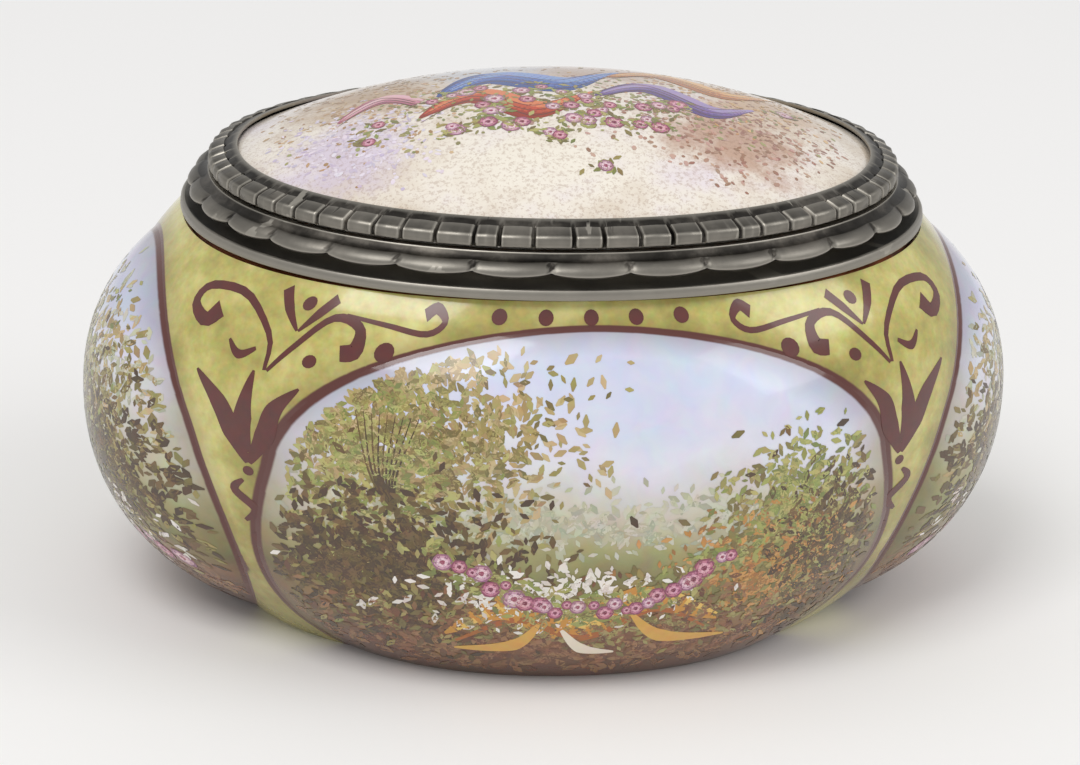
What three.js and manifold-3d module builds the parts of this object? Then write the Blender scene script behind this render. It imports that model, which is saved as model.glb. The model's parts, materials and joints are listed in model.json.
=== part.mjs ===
// Oval bombe enamelled copper box with a hinged domed lid in silver mounts.
// Millimetres, +Z up, origin at the middle of the flat base, front towards -Y.
import * as THREE from "three";
import { mergeVertices } from "three/addons/utils/BufferGeometryUtils.js";
import Module from "manifold-3d";

const wasm = await Module();
wasm.setup();

// Shaped forms: centre, half sizes each way, height above and depth below the centre,
// then how square the plan and the side profile are.
const ground = { x: 0, y: 0, z: 22.8, halfX: 39.7, halfY: 28.9, up: 24.4, down: 31.1, plan: 2.18, side: 2.08 };
const frontLobe = { x: 0, y: -7.2, z: 21.1, halfX: 34.1, halfY: 24.4, up: 19.0, down: 26.4, plan: 2.05, side: 2.2 };
const sideLobe = { x: 15.6, y: 0, z: 19.7, halfX: 27.1, halfY: 21.7, up: 20.2, down: 21.9, plan: 2.12, side: 2.16 };
const ovalPower = 2.08;

// Wall of the enamelled copper
const seatGap = 0.3;
const enamelThick = 0.6;
const copperThick = 0.7;
const counterThick = 0.5;

// Body mount
const mouthZ = 36.2;
const flangeHalfX = 33.9;
const flangeHalfY = 25.6;
const flangeThick = 1.0;
const flangeEdge = 0.3;
const collarInset = 4.7;
const collarWall = 0.8;
const collarDepth = 2.6;
const collarRise = 1.2;

// Lid mount
const lidGap = 0.8;
const petalInset = 0.6;
const petalCount = 30;
const petalDepth = 0.45;
const petalRimHeight = 0.63;
const petalShoulderHeight = 1.35;
const petalShoulderInset = 1.14;
const stepsPerPetal = 3;
const frameWall = 2.7;
const frameHeight = 1.8;
const ringInset = 1.9;
const ringHeight = 1.15;
const ringWall = 1.7;
const ringLip = 0.9;
const ringSlope = 0.9;
const notchCount = 48;
const notchDepth = 0.3;
const notchFade = 3;
const stepsPerNotch = 3;
const lipDrop = 0.2;
const lipUndercut = 0.1;
const domeRise = 6.6;
const domePower = 2.1;
const retainerWidth = 1.2;
const retainerHeight = 0.55;
const retainerGap = 0.5;

// Hinge
const knuckleRadius = 1.25;
const knuckleLength = 3.4;
const knuckleCount = 5;
const boreRadius = 0.7;
const pinRadius = 0.45;
const pinHeadRadius = 0.9;
const pinHeadLength = 0.5;
const hingeStandOff = 1.1;
const plateThick = 0.7;
const plateInset = 0.5;
const plateReach = 2;

// Fineness of the facets
const aroundForm = 24;
const downForm = 14;
const aroundOval = 48;
const domeRings = 4;
const roundSides = 12;
const mergeDistance = 1e-4;
const cutMargin = 1;

// Places that follow from the sizes above
const wallThick = enamelThick + copperThick + counterThick + 2 * seatGap;
const flangeZ = mouthZ + seatGap;
const flangeTop = flangeZ + flangeThick;
const frameZ = flangeTop + lidGap;
const frameTop = frameZ + frameHeight;
const ringZ = frameTop + seatGap;
const ringTop = ringZ + ringHeight;
const hingeY = flangeHalfY + hingeStandOff;
const hingeZ = (flangeTop + frameZ) / 2;
const hingeLength = knuckleCount * knuckleLength + (knuckleCount - 1) * seatGap;

const silver = () => new THREE.MeshStandardMaterial({ color: 0x4d4a45, roughness: 0.42, metalness: 1 });
const copper = () => new THREE.MeshStandardMaterial({ color: 0x9a5a3c, roughness: 0.5, metalness: 1 });
const paintedEnamel = () => new THREE.MeshStandardMaterial({ color: 0xbfb56c, roughness: 0.12, metalness: 0 });
const paleEnamel = () => new THREE.MeshStandardMaterial({ color: 0xe9e6dc, roughness: 0.15, metalness: 0 });

// A solid from a closed geometry, whose shared vertices are merged first.
function solidOf(geometry) {
  geometry.deleteAttribute("normal");
  geometry.deleteAttribute("uv");
  const merged = mergeVertices(geometry, mergeDistance);
  return new wasm.Manifold(
    new wasm.Mesh({
      numProp: 3,
      vertProperties: merged.attributes.position.array,
      triVerts: new Uint32Array(merged.index.array),
    }),
  );
}

function geometryOf(solid) {
  const mesh = solid.getMesh();
  const geometry = new THREE.BufferGeometry();
  geometry.setAttribute("position", new THREE.BufferAttribute(mesh.vertProperties, 3));
  geometry.setIndex(new THREE.BufferAttribute(mesh.triVerts, 1));
  return geometry;
}

function boxSolid(low, high) {
  const size = high.map((h, i) => h - low[i]);
  const middle = high.map((h, i) => (h + low[i]) / 2);
  return solidOf(new THREE.BoxGeometry(...size).translate(...middle));
}

// A sphere pushed out to a rounded form, which every wall layer uses with its own inset.
function formSolid(form, inset, mirrorX = 1, mirrorY = 1) {
  const half = [form.halfX - inset, form.halfY - inset];
  const geometry = new THREE.SphereGeometry(1, aroundForm, downForm).rotateX(Math.PI / 2);
  const points = geometry.attributes.position;
  for (let i = 0; i < points.count; i++) {
    const u = points.getX(i);
    const v = points.getY(i);
    const w = points.getZ(i);
    const plan = Math.abs(u) ** form.plan + Math.abs(v) ** form.plan;
    const gauge = (plan ** (form.side / form.plan) + Math.abs(w) ** form.side) ** (1 / form.side);
    const height = (w > 0 ? form.up : form.down) - inset;
    points.setXYZ(
      i,
      form.x * mirrorX + (half[0] * u) / gauge,
      form.y * mirrorY + (half[1] * v) / gauge,
      form.z + (height * w) / gauge,
    );
  }
  return solidOf(geometry);
}

// The whole outer or inner form of the body at one inset, standing on its own floor.
function bodyForm(inset, top) {
  const whole = formSolid(ground, inset)
    .add(formSolid(frontLobe, inset))
    .add(formSolid(frontLobe, inset, 1, -1))
    .add(formSolid(sideLobe, inset))
    .add(formSolid(sideLobe, inset, -1, 1));
  const reach = 2 * ground.halfX;
  return whole.intersect(boxSolid([-reach, -reach, inset], [reach, reach, top]));
}

function bodyLayer(inset, thick) {
  return bodyForm(inset, mouthZ).subtract(bodyForm(inset + thick, mouthZ + ground.up));
}

// Half sizes of the mount's oval, drawn in by an inset.
const ovalHalf = (inset) => [flangeHalfX - inset, flangeHalfY - inset];

function ovalPoint(inset, turn) {
  const [halfX, halfY] = ovalHalf(inset);
  const u = Math.cos(turn);
  const v = Math.sin(turn);
  const scale = 1 / (Math.abs(u) ** ovalPower + Math.abs(v) ** ovalPower) ** (1 / ovalPower);
  return [halfX * u * scale, halfY * v * scale];
}

// A closed ring swept round the oval. profileAt gives [inset, z] points, anticlockwise
// as seen with the outside of the ring on the right.
function ovalRing(steps, profileAt) {
  const vertices = [];
  const faces = [];
  const count = profileAt(0).length;
  for (let i = 0; i < steps; i++) {
    const turn = (i / steps) * 2 * Math.PI;
    for (const [inset, z] of profileAt(i)) vertices.push(...ovalPoint(inset, turn), z);
    const next = (i + 1) % steps;
    for (let j = 0; j < count; j++) {
      const k = (j + 1) % count;
      const corners = [i * count + j, next * count + j, next * count + k, i * count + k];
      faces.push(corners[0], corners[1], corners[2], corners[0], corners[2], corners[3]);
    }
  }
  const geometry = new THREE.BufferGeometry();
  geometry.setAttribute("position", new THREE.Float32BufferAttribute(vertices, 3));
  geometry.setIndex(faces);
  return geometry;
}

function rimFlange() {
  const inner = collarInset - seatGap;
  return ovalRing(aroundOval, () => [
    [inner, flangeZ],
    [flangeEdge, flangeZ],
    [0, flangeZ + flangeEdge],
    [0, flangeTop - flangeEdge],
    [flangeEdge, flangeTop],
    [inner, flangeTop],
  ]);
}

function rimCollar() {
  const low = mouthZ - collarDepth;
  const high = flangeTop + collarRise;
  return ovalRing(aroundOval, () => [
    [collarInset + collarWall, low],
    [collarInset, low],
    [collarInset, high],
    [collarInset + collarWall, high],
  ]);
}

// Overlapping petals: the lower edge swells out between the cuts.
function petalFrame() {
  return ovalRing(petalCount * stepsPerPetal, (i) => {
    const swell = petalDepth * (1 - Math.sin((Math.PI * (i % stepsPerPetal)) / stepsPerPetal));
    return [
      [petalInset + frameWall, frameZ],
      [petalInset + swell, frameZ],
      [petalInset + swell, frameZ + petalRimHeight],
      [petalInset + petalShoulderInset, frameZ + petalShoulderHeight],
      [petalInset + ringInset, frameTop],
      [petalInset + frameWall, frameTop],
    ];
  });
}

// The ring over the petals, notched round its outer edge, with a lip over the plaque.
function milledRing() {
  const outer = petalInset + ringInset;
  const slopeAt = (inset) => ringTop + (ringSlope * inset) / (ringWall + ringLip);
  const lipZ = slopeAt(ringWall) - lipDrop;
  return ovalRing(notchCount * stepsPerNotch, (i) => {
    const cut = i % stepsPerNotch === 0 ? notchDepth : 0;
    return [
      [outer + ringWall, ringZ],
      [outer + cut, ringZ],
      [outer + cut, ringTop - cut],
      [outer + ringWall, slopeAt(ringWall) - cut / notchFade],
      [outer + ringWall + ringLip, slopeAt(ringWall + ringLip)],
      [outer + ringWall + ringLip, lipZ],
      [outer + ringWall, lipZ - lipUndercut],
    ];
  });
}

const plaqueInset = petalInset + ringInset + ringWall + seatGap;
const plaqueEdgeZ = ringTop + (ringSlope * ringWall) / (ringWall + ringLip) - lipDrop - lipUndercut - seatGap;

function domeHeight(share) {
  return domeRise * (1 - share ** domePower);
}

// One layer of the domed plaque, a set depth under its painted face.
function domeLayer(depth, thick) {
  const vertices = [];
  const faces = [];
  for (const level of [plaqueEdgeZ - depth, plaqueEdgeZ - depth - thick]) {
    vertices.push(0, 0, level + domeHeight(0));
    for (let r = 1; r <= domeRings; r++) {
      const share = r / domeRings;
      for (let i = 0; i < aroundOval; i++) {
        const [x, y] = ovalPoint(plaqueInset, (i / aroundOval) * 2 * Math.PI);
        vertices.push(x * share, y * share, level + domeHeight(share));
      }
    }
  }
  const perFace = 1 + domeRings * aroundOval;
  const at = (side, r, i) => side * perFace + (r === 0 ? 0 : 1 + (r - 1) * aroundOval + (i % aroundOval));
  for (let i = 0; i < aroundOval; i++) {
    faces.push(at(0, 0, 0), at(0, 1, i), at(0, 1, i + 1));
    faces.push(at(1, 0, 0), at(1, 1, i + 1), at(1, 1, i));
    for (let r = 1; r < domeRings; r++) {
      faces.push(at(0, r, i), at(0, r + 1, i), at(0, r + 1, i + 1));
      faces.push(at(0, r, i), at(0, r + 1, i + 1), at(0, r, i + 1));
      faces.push(at(1, r, i), at(1, r + 1, i + 1), at(1, r + 1, i));
      faces.push(at(1, r, i), at(1, r, i + 1), at(1, r + 1, i + 1));
    }
    faces.push(at(0, domeRings, i), at(1, domeRings, i), at(1, domeRings, i + 1));
    faces.push(at(0, domeRings, i), at(1, domeRings, i + 1), at(0, domeRings, i + 1));
  }
  const geometry = new THREE.BufferGeometry();
  geometry.setAttribute("position", new THREE.Float32BufferAttribute(vertices, 3));
  geometry.setIndex(faces);
  return geometry;
}

function retainingRing() {
  const top = plaqueEdgeZ - wallThick - seatGap;
  const outer = collarInset + collarWall + retainerGap;
  return ovalRing(aroundOval, () => [
    [outer + retainerWidth, top - retainerHeight],
    [outer, top - retainerHeight],
    [outer, top],
    [outer + retainerWidth, top],
  ]);
}

function knuckle(index) {
  const start = -hingeLength / 2 + index * (knuckleLength + seatGap);
  const tube = new THREE.LatheGeometry(
    [
      new THREE.Vector2(boreRadius, 0),
      new THREE.Vector2(knuckleRadius, 0),
      new THREE.Vector2(knuckleRadius, knuckleLength),
      new THREE.Vector2(boreRadius, knuckleLength),
      new THREE.Vector2(boreRadius, 0),
    ],
    roundSides,
  );
  return tube.rotateZ(-Math.PI / 2).translate(start, hingeY, hingeZ);
}

function hingePin() {
  const headStart = hingeLength / 2 + seatGap;
  const end = headStart + pinHeadLength;
  const profile = [
    [0, -end],
    [pinHeadRadius, -end],
    [pinHeadRadius, -headStart],
    [pinRadius, -headStart],
    [pinRadius, headStart],
    [pinHeadRadius, headStart],
    [pinHeadRadius, end],
    [0, end],
  ];
  const pin = new THREE.LatheGeometry(profile.map(([r, h]) => new THREE.Vector2(r, h)), roundSides);
  return pin.rotateZ(-Math.PI / 2).translate(0, hingeY, hingeZ);
}

// A bearer plate over or under the knuckles, curved where it meets the mount.
function hingePlate(low, inset) {
  const far = hingeY + knuckleRadius;
  const near = ovalHalf(inset + plateReach)[1];
  const plate = boxSolid([-hingeLength / 2, near, low], [hingeLength / 2, far, low + plateThick]);
  const cutter = new THREE.Shape();
  for (let i = 0; i < aroundOval; i++) {
    const [x, y] = ovalPoint(inset - seatGap, (i / aroundOval) * 2 * Math.PI);
    if (i === 0) cutter.moveTo(x, y);
    else cutter.lineTo(x, y);
  }
  const deep = plateThick + 2 * cutMargin;
  const cut = new THREE.ExtrudeGeometry(cutter, { depth: deep, bevelEnabled: false, curveSegments: 1 });
  return geometryOf(plate.subtract(solidOf(cut.translate(0, 0, low - cutMargin))));
}

const part = new THREE.Group();
const boxBody = new THREE.Group();
const lid = new THREE.Group();
part.add(boxBody, lid);

function place(group, name, geometry, material) {
  const mesh = new THREE.Mesh(geometry, material);
  mesh.name = name;
  group.add(mesh);
}

const copperInset = enamelThick + seatGap;
const counterInset = copperInset + copperThick + seatGap;
place(boxBody, "body_outer_enamel", geometryOf(bodyLayer(0, enamelThick)), paintedEnamel());
place(boxBody, "body_copper_shell", geometryOf(bodyLayer(copperInset, copperThick)), copper());
place(boxBody, "body_counter_enamel", geometryOf(bodyLayer(counterInset, counterThick)), paleEnamel());
place(boxBody, "body_rim_flange", rimFlange(), silver());
place(boxBody, "body_rim_collar", rimCollar(), silver());
place(boxBody, "body_hinge_plate", hingePlate(flangeZ - seatGap - plateThick, plateInset), silver());
place(boxBody, "hinge_pin", hingePin(), silver());

place(lid, "lid_outer_enamel", domeLayer(0, enamelThick), paintedEnamel());
place(lid, "lid_copper_dome", domeLayer(copperInset, copperThick), copper());
place(lid, "lid_counter_enamel", domeLayer(counterInset, counterThick), paleEnamel());
place(lid, "lid_milled_ring", milledRing(), silver());
place(lid, "lid_petal_frame", petalFrame(), silver());
place(lid, "lid_retaining_ring", retainingRing(), silver());
place(lid, "lid_hinge_plate", hingePlate(hingeZ + knuckleRadius + seatGap, petalInset), silver());

for (let i = 0; i < knuckleCount; i++) {
  const onLid = i % 2 === 1;
  place(onLid ? lid : boxBody, `${onLid ? "lid" : "body"}_hinge_knuckle_${i + 1}`, knuckle(i), silver());
}

export default part;
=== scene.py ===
import json
import math
import random

import bmesh
import bpy
import numpy as np
from mathutils import Matrix, Vector


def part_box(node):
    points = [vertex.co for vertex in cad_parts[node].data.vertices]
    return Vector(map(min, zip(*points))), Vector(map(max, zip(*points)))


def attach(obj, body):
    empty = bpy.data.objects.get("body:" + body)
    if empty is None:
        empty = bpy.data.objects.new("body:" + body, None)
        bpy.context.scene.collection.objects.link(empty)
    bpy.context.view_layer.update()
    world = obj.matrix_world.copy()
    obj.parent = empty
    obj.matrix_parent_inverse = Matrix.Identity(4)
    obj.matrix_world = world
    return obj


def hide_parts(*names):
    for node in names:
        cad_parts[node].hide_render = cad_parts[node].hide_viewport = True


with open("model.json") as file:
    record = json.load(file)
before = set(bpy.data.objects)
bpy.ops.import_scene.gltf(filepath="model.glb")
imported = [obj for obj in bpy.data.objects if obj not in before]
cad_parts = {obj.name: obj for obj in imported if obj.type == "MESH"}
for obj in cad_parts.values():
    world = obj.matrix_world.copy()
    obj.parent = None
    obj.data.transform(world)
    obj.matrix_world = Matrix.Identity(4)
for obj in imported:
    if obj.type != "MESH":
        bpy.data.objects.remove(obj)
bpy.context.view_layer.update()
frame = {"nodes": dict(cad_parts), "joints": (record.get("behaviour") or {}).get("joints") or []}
mm = 0.001
print("frame loaded:", len(frame["nodes"]), "nodes")


def linear(hexColour):
    # sRGB hex to the linear values that Blender's sockets take
    parts = [int(hexColour[i : i + 2], 16) / 255 for i in (1, 3, 5)]
    return [c / 12.92 if c <= 0.04045 else ((c + 0.055) / 1.055) ** 2.4 for c in parts] + [1.0]


def addNode(material, kind, settings=None, values=None, links=None, stops=None):
    tree = material.node_tree
    made = tree.nodes.new(kind)
    for name, value in (settings or {}).items():
        setattr(made, name, value)
    for name, value in (values or {}).items():
        made.inputs[name].default_value = value
    for name, socket in (links or {}).items():
        tree.links.new(socket, made.inputs[name])
    if stops:
        ramp = made.color_ramp
        while len(ramp.elements) < len(stops):
            ramp.elements.new(0.5)
        for element, (place, colour) in zip(ramp.elements, stops):
            element.position = place
            element.color = linear(colour)
    return made


def newMaterial(name):
    material = bpy.data.materials.new(name)
    material.use_nodes = True
    material.node_tree.nodes.clear()
    return material


def finishMaterial(material, links, values):
    surface = addNode(material, "ShaderNodeBsdfPrincipled", values=values, links=links)
    addNode(material, "ShaderNodeOutputMaterial", links={"Surface": surface.outputs["BSDF"]})
    return material


# Fired enamel: glass flux over painted colour, so a hard gloss with a faint ripple
enamelFinish = {"Roughness": 0.16, "IOR": 1.5, "Coat Weight": 0.35, "Coat Roughness": 0.06}


def enamelRipple(material, places, scale=260.0, depth=0.05):
    ripple = addNode(material, "ShaderNodeTexNoise", values={"Scale": scale, "Detail": 2.0},
                     links={"Vector": places})
    bump = addNode(material, "ShaderNodeBump", values={"Strength": depth, "Distance": 0.3 * mm},
                   links={"Height": ripple.outputs["Fac"]})
    return bump.outputs["Normal"]


def groundEnamel():
    # Yellow-green translucent ground over flux: uneven washes, darker where it pools
    m = newMaterial("groundEnamel")
    places = addNode(m, "ShaderNodeTexCoord").outputs["Object"]
    washAndShade = addNode(m, "ShaderNodeTexNoise", values={"Scale": 130.0, "Detail": 5.0, "Roughness": 0.62},
                   links={"Vector": places})
    tint = addNode(m, "ShaderNodeValToRGB", links={"Fac": washAndShade.outputs["Fac"]},
                   stops=[(0.3, "#98904A"), (0.47, "#B9AF62"), (0.6, "#CFC67E"), (0.75, "#DDD698")])
    speck = addNode(m, "ShaderNodeTexNoise", values={"Scale": 1500.0, "Detail": 2.0},
                    links={"Vector": places})
    speckle = addNode(m, "ShaderNodeMix", settings={"data_type": "RGBA", "blend_type": "OVERLAY"},
                      values={"Factor": 0.22},
                      links={"A": tint.outputs["Color"], "B": speck.outputs["Color"]})
    return withSeam(m, speckle.outputs["Result"], places)


# The line in the crease, in mm: full colour up to inner, gone at outer; the painted shade beside it fades by
# its own reach
seamLine = {"inner": 0.13 * 0.7, "outer": 0.13 * 1.15, "shadeReach": 0.8, "shadeDepth": 0.45}


def withSeam(m, colour, places):
    # A brown painted line in the crease, and a soft painted shade beside it, darker towards the crease
    seam = addNode(m, "ShaderNodeAttribute", settings={"attribute_name": "seam"})
    # Painted shade: the colour is darkened near the crease and fades out away from it
    washAndShade = addNode(m, "ShaderNodeMapRange", links={"Value": seam.outputs["Fac"]},
                   values={"From Min": 0.0, "From Max": seamLine["shadeReach"],
                           "To Min": seamLine["shadeDepth"], "To Max": 0.0})
    shaded = addNode(m, "ShaderNodeMix", settings={"data_type": "RGBA", "blend_type": "MULTIPLY"},
                     values={"B": linear("#8A6B4A")}, links={"Factor": washAndShade.outputs["Result"], "A": colour})
    edge = addNode(m, "ShaderNodeMapRange", settings={"interpolation_type": "SMOOTHSTEP"},
                   values={"From Min": seamLine["inner"], "From Max": seamLine["outer"],
                           "To Min": 1.0, "To Max": 0.0},
                   links={"Value": seam.outputs["Fac"]})
    lined = addNode(m, "ShaderNodeMix", settings={"data_type": "RGBA"}, values={"B": linear("#5A2E28")},
                    links={"Factor": edge.outputs["Result"], "A": shaded.outputs["Result"]})
    return finishMaterial(m, {"Base Color": lined.outputs["Result"], "Normal": enamelRipple(m, places)},
                          enamelFinish)


# Heights of the painted view, in metres, from its lowest earth to the top of its sky
viewSpan = {"low": 0.002, "high": 0.036}


def landscapeEnamel(name, seed, skyTop, horizon, treeline):
    # Painted view in washes: lavender sky, pale far trees, olive ground and a brown bank at the foot
    m = newMaterial(name)
    places = addNode(m, "ShaderNodeTexCoord").outputs["Object"]
    split = addNode(m, "ShaderNodeSeparateXYZ", links={"Vector": places})
    drift = addNode(m, "ShaderNodeTexNoise", settings={"noise_dimensions": "4D"},
                    values={"Scale": 90.0, "Detail": 5.0, "W": seed}, links={"Vector": places})
    height = addNode(m, "ShaderNodeMath", settings={"operation": "MULTIPLY_ADD"}, values={1: treeline},
                     links={0: drift.outputs["Fac"], 2: split.outputs["Z"]})
    level = addNode(m, "ShaderNodeMapRange", links={"Value": height.outputs["Value"]},
                    values={"From Min": viewSpan["low"] + treeline / 2,
                            "From Max": viewSpan["high"] + treeline / 2})
    view = addNode(m, "ShaderNodeValToRGB", links={"Fac": level.outputs["Result"]},
                   stops=[(0.0, "#6B4A38"), (0.14, "#8A6A45"), (0.28, "#7E7A48"), (0.40, "#A39C6E"),
                          (0.5, horizon), (0.66, "#DADAE6"), (0.82, skyTop), (1.0, "#C9CCDF")])
    stroke = addNode(m, "ShaderNodeTexNoise", settings={"noise_dimensions": "4D"},
                     values={"Scale": 420.0, "Detail": 4.0, "W": seed + 3.0, "Distortion": 0.8},
                     links={"Vector": places})
    brushed = addNode(m, "ShaderNodeMix", settings={"data_type": "RGBA", "blend_type": "SOFT_LIGHT"},
                      values={"Factor": 0.4},
                      links={"A": view.outputs["Color"], "B": stroke.outputs["Color"]})
    return withSeam(m, brushed.outputs["Result"], places)


def softArea(m, places, colour, under, middle, size, strength):
    # A stippled cloud of colour round one place, faded by distance and broken by noise
    away = addNode(m, "ShaderNodeVectorMath", settings={"operation": "SUBTRACT"},
                   values={1: [c * mm for c in middle]}, links={0: places})
    scaled = addNode(m, "ShaderNodeVectorMath", settings={"operation": "DIVIDE"},
                     values={1: [c * mm for c in size]}, links={0: away.outputs["Vector"]})
    far = addNode(m, "ShaderNodeVectorMath", settings={"operation": "LENGTH"},
                  links={0: scaled.outputs["Vector"]})
    broken = addNode(m, "ShaderNodeTexNoise", values={"Scale": 330.0, "Detail": 6.0, "Roughness": 0.7},
                     links={"Vector": places})
    reach = addNode(m, "ShaderNodeMath", settings={"operation": "MULTIPLY_ADD"},
                    values={1: -1.6}, links={0: broken.outputs["Fac"], 2: far.outputs["Value"]})
    share = addNode(m, "ShaderNodeMapRange", settings={"interpolation_type": "SMOOTHSTEP"},
                    values={"From Min": -0.5, "From Max": 0.3, "To Min": strength, "To Max": 0.0},
                    links={"Value": reach.outputs["Value"]})
    mixed = addNode(m, "ShaderNodeMix", settings={"data_type": "RGBA"}, values={"B": linear(colour)},
                    links={"Factor": share.outputs["Result"], "A": under})
    return mixed.outputs["Result"]


# Soft areas of the lid: colour, middle and half sizes in mm, strength
cloudAreas = [
    ("#B08D62", (-16, 4, 44), (10, 9, 9), 0.85),
    ("#D3C6DA", (-20, -8, 42), (8, 7, 9), 0.8),
    ("#EFE8DA", (-3, -13, 43), (12, 6, 9), 0.9),
    ("#B89078", (14, -8, 43), (9, 8, 9), 0.85),
    ("#C49A6C", (18, 2, 43), (9, 9, 9), 0.8),
    ("#A97E66", (4, 6, 47), (9, 7, 9), 0.6),
    ("#C8D0DE", (-6, 8, 47), (8, 7, 9), 0.7),
]


def cloudEnamel():
    # White enamel stippled with ochre, lavender and rose clouds
    m = newMaterial("cloudEnamel")
    places = addNode(m, "ShaderNodeTexCoord").outputs["Object"]
    soft = addNode(m, "ShaderNodeTexNoise", values={"Scale": 110.0, "Detail": 5.0, "Roughness": 0.6},
                   links={"Vector": places})
    colour = addNode(m, "ShaderNodeValToRGB", links={"Fac": soft.outputs["Fac"]},
                     stops=[(0.3, "#D9CBB8"), (0.5, "#ECE4D8"), (0.7, "#E6DCE2")]).outputs["Color"]
    for tint, middle, size, strength in cloudAreas:
        colour = softArea(m, places, tint, colour, middle, size, strength)
    grain = addNode(m, "ShaderNodeTexNoise", values={"Scale": 2600.0, "Detail": 2.0, "Roughness": 0.8},
                    links={"Vector": places})
    dots = addNode(m, "ShaderNodeMapRange", links={"Value": grain.outputs["Fac"]},
                   values={"From Min": 0.5, "From Max": 0.62, "To Min": 0.0, "To Max": 0.35})
    stippled = addNode(m, "ShaderNodeMix", settings={"data_type": "RGBA"}, values={"B": linear("#9C7B66")},
                       links={"Factor": dots.outputs["Result"], "A": colour})
    return finishMaterial(m, {"Base Color": stippled.outputs["Result"], "Normal": enamelRipple(m, places)},
                          enamelFinish)


def paintedStrokes():
    # Overglaze colours laid by brush, each stroke with the colour that it carries
    m = newMaterial("paintedStrokes")
    places = addNode(m, "ShaderNodeTexCoord").outputs["Object"]
    paint = addNode(m, "ShaderNodeAttribute", settings={"attribute_name": "paint"})
    worn = addNode(m, "ShaderNodeTexNoise", values={"Scale": 900.0, "Detail": 3.0},
                   links={"Vector": places})
    mixed = addNode(m, "ShaderNodeMix", settings={"data_type": "RGBA", "blend_type": "SOFT_LIGHT"},
                    values={"Factor": 0.35},
                    links={"A": paint.outputs["Color"], "B": worn.outputs["Color"]})
    return finishMaterial(m, {"Base Color": mixed.outputs["Result"]}, {**enamelFinish, "Roughness": 0.24})


def counterEnamel():
    # White backing enamel, with fine grey flecks of fire scale
    m = newMaterial("counterEnamel")
    places = addNode(m, "ShaderNodeTexCoord").outputs["Object"]
    fleck = addNode(m, "ShaderNodeTexNoise", values={"Scale": 700.0, "Detail": 6.0},
                    links={"Vector": places})
    tint = addNode(m, "ShaderNodeValToRGB", links={"Fac": fleck.outputs["Fac"]},
                   stops=[(0.28, "#B9B6AC"), (0.4, "#E4E1D8"), (0.7, "#EFEDE6")])
    ripple = enamelRipple(m, places, 180.0, 0.12)
    return finishMaterial(m, {"Base Color": tint.outputs["Color"], "Normal": ripple}, enamelFinish)


def tarnishedSilver():
    # Low-grade silver gone dark with sulphide, rubbed bright on its edges
    m = newMaterial("tarnishedSilver")
    places = addNode(m, "ShaderNodeTexCoord").outputs["Object"]
    bloom = addNode(m, "ShaderNodeTexNoise", values={"Scale": 220.0, "Detail": 6.0, "Roughness": 0.65},
                    links={"Vector": places})
    edges = addNode(m, "ShaderNodeNewGeometry")
    rubbed = addNode(m, "ShaderNodeMapRange", values={"From Min": 0.505, "From Max": 0.56},
                     links={"Value": edges.outputs["Pointiness"]})
    dark = addNode(m, "ShaderNodeValToRGB", links={"Fac": bloom.outputs["Fac"]},
                   stops=[(0.3, "#242220"), (0.5, "#3F3C38"), (0.68, "#6B665F")])
    metal = addNode(m, "ShaderNodeMix", settings={"data_type": "RGBA"}, values={"B": linear("#A9A49A")},
                    links={"Factor": rubbed.outputs["Result"], "A": dark.outputs["Color"]})
    rough = addNode(m, "ShaderNodeMapRange", values={"To Min": 0.28, "To Max": 0.55},
                    links={"Value": bloom.outputs["Fac"]})
    filed = addNode(m, "ShaderNodeTexNoise", values={"Scale": 1600.0, "Detail": 4.0},
                    links={"Vector": places})
    bump = addNode(m, "ShaderNodeBump", values={"Strength": 0.3, "Distance": 0.05 * mm},
                   links={"Height": filed.outputs["Fac"]})
    links = {"Base Color": metal.outputs["Result"], "Roughness": rough.outputs["Result"],
             "Normal": bump.outputs["Normal"]}
    return finishMaterial(m, links, {"Metallic": 1.0})


def copperSheet():
    # Annealed copper between the enamels, brown with oxide
    m = newMaterial("copperSheet")
    places = addNode(m, "ShaderNodeTexCoord").outputs["Object"]
    oxide = addNode(m, "ShaderNodeTexNoise", values={"Scale": 200.0, "Detail": 5.0},
                    links={"Vector": places})
    tint = addNode(m, "ShaderNodeValToRGB", links={"Fac": oxide.outputs["Fac"]},
                   stops=[(0.35, "#5E3524"), (0.65, "#A2603F")])
    return finishMaterial(m, {"Base Color": tint.outputs["Color"]}, {"Metallic": 1.0, "Roughness": 0.45})


silver = tarnishedSilver()
strokesPaint = paintedStrokes()
backing = counterEnamel()
copper = copperSheet()
print("materials made")


def newPiece(name, bm, materials, body, replaced, smoothAngle):
    mesh = bpy.data.meshes.new(name)
    bm.to_mesh(mesh)
    bm.free()
    addPiece(name, mesh, materials, body, replaced, smoothAngle)


def addPiece(name, mesh, materials, body, replaced, smoothAngle):
    piece = bpy.data.objects.new(name, mesh)
    bpy.context.scene.collection.objects.link(piece)
    for material in materials:
        mesh.materials.append(material)
    mesh.shade_smooth()
    mesh.set_sharp_from_angle(angle=math.radians(smoothAngle))
    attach(piece, body)
    if replaced:
        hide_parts(*replaced)


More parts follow.
